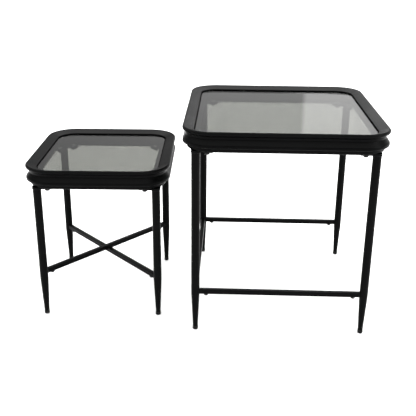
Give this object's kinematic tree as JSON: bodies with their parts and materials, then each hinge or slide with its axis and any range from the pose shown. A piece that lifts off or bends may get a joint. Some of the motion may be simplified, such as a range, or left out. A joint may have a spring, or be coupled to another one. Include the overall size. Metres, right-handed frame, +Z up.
{
  "type": "nesting side tables",
  "caption": "Pair of black steel side tables with inset smoked glass tops; the smaller one stores under the larger.",
  "frame": {"origin": "on the floor, at the centre of the rectangle both tables cover when they stand side by side", "axes": "+X from the small table to the large one, towards the large table's open side; +Y to the back; +Z up"},
  "size_m": [0.9348, 0.5684, 0.5526],
  "materials": {
    "black_powder_coat": "fine satin powder coat",
    "smoked_glass": "smoked grey, polished",
    "rubber_pad": "soft matt black bumper",
    "foot_plastic": "moulded matt black",
    "black_bolt": "black oxide, satin",
    "bare_steel": "zinc plated"
  },
  "bodies": {
    "large_table": {"large_rim_flange": "black_powder_coat", "large_rim_bead": "black_powder_coat", "large_apron_channel": "black_powder_coat", "large_glass_panel": "smoked_glass", "large_glass_pads": "rubber_pad", "large_leg_front_left": "black_powder_coat", "large_foot_front_left": "foot_plastic", "large_bracket_front_left": "black_powder_coat", "large_leg_front_right": "black_powder_coat", "large_foot_front_right": "foot_plastic", "large_bracket_front_right": "black_powder_coat", "large_leg_back_left": "black_powder_coat", "large_foot_back_left": "foot_plastic", "large_bracket_back_left": "black_powder_coat", "large_leg_back_right": "black_powder_coat", "large_foot_back_right": "foot_plastic", "large_bracket_back_right": "black_powder_coat", "large_bracket_bolts": "black_bolt", "large_bracket_washers": "black_bolt", "large_weld_nuts": "bare_steel", "large_stretcher_front": "black_powder_coat", "large_stretcher_back": "black_powder_coat", "large_stretcher_left": "black_powder_coat", "large_stretcher_stubs": "bare_steel", "large_stretcher_bolts": "black_bolt", "large_stretcher_washers": "black_bolt"},
    "small_table": {"small_rim_flange": "black_powder_coat", "small_rim_bead": "black_powder_coat", "small_apron_channel": "black_powder_coat", "small_glass_panel": "smoked_glass", "small_glass_pads": "rubber_pad", "small_leg_front_left": "black_powder_coat", "small_foot_front_left": "foot_plastic", "small_bracket_front_left": "black_powder_coat", "small_leg_front_right": "black_powder_coat", "small_foot_front_right": "foot_plastic", "small_bracket_front_right": "black_powder_coat", "small_leg_back_left": "black_powder_coat", "small_foot_back_left": "foot_plastic", "small_bracket_back_left": "black_powder_coat", "small_leg_back_right": "black_powder_coat", "small_foot_back_right": "foot_plastic", "small_bracket_back_right": "black_powder_coat", "small_bracket_bolts": "black_bolt", "small_bracket_washers": "black_bolt", "small_weld_nuts": "bare_steel", "small_brace_upper": "black_powder_coat", "small_brace_lower": "black_powder_coat", "small_brace_stubs": "bare_steel", "small_brace_bolts": "black_bolt", "small_brace_washers": "black_bolt"}
  },
  "joints": [
    {"name": "small_table_slide", "type": "slide", "parent": "large_table", "child": "small_table", "axis": [-1, 0, 0], "range_m": [-0.03, 0.45]}
  ]
}
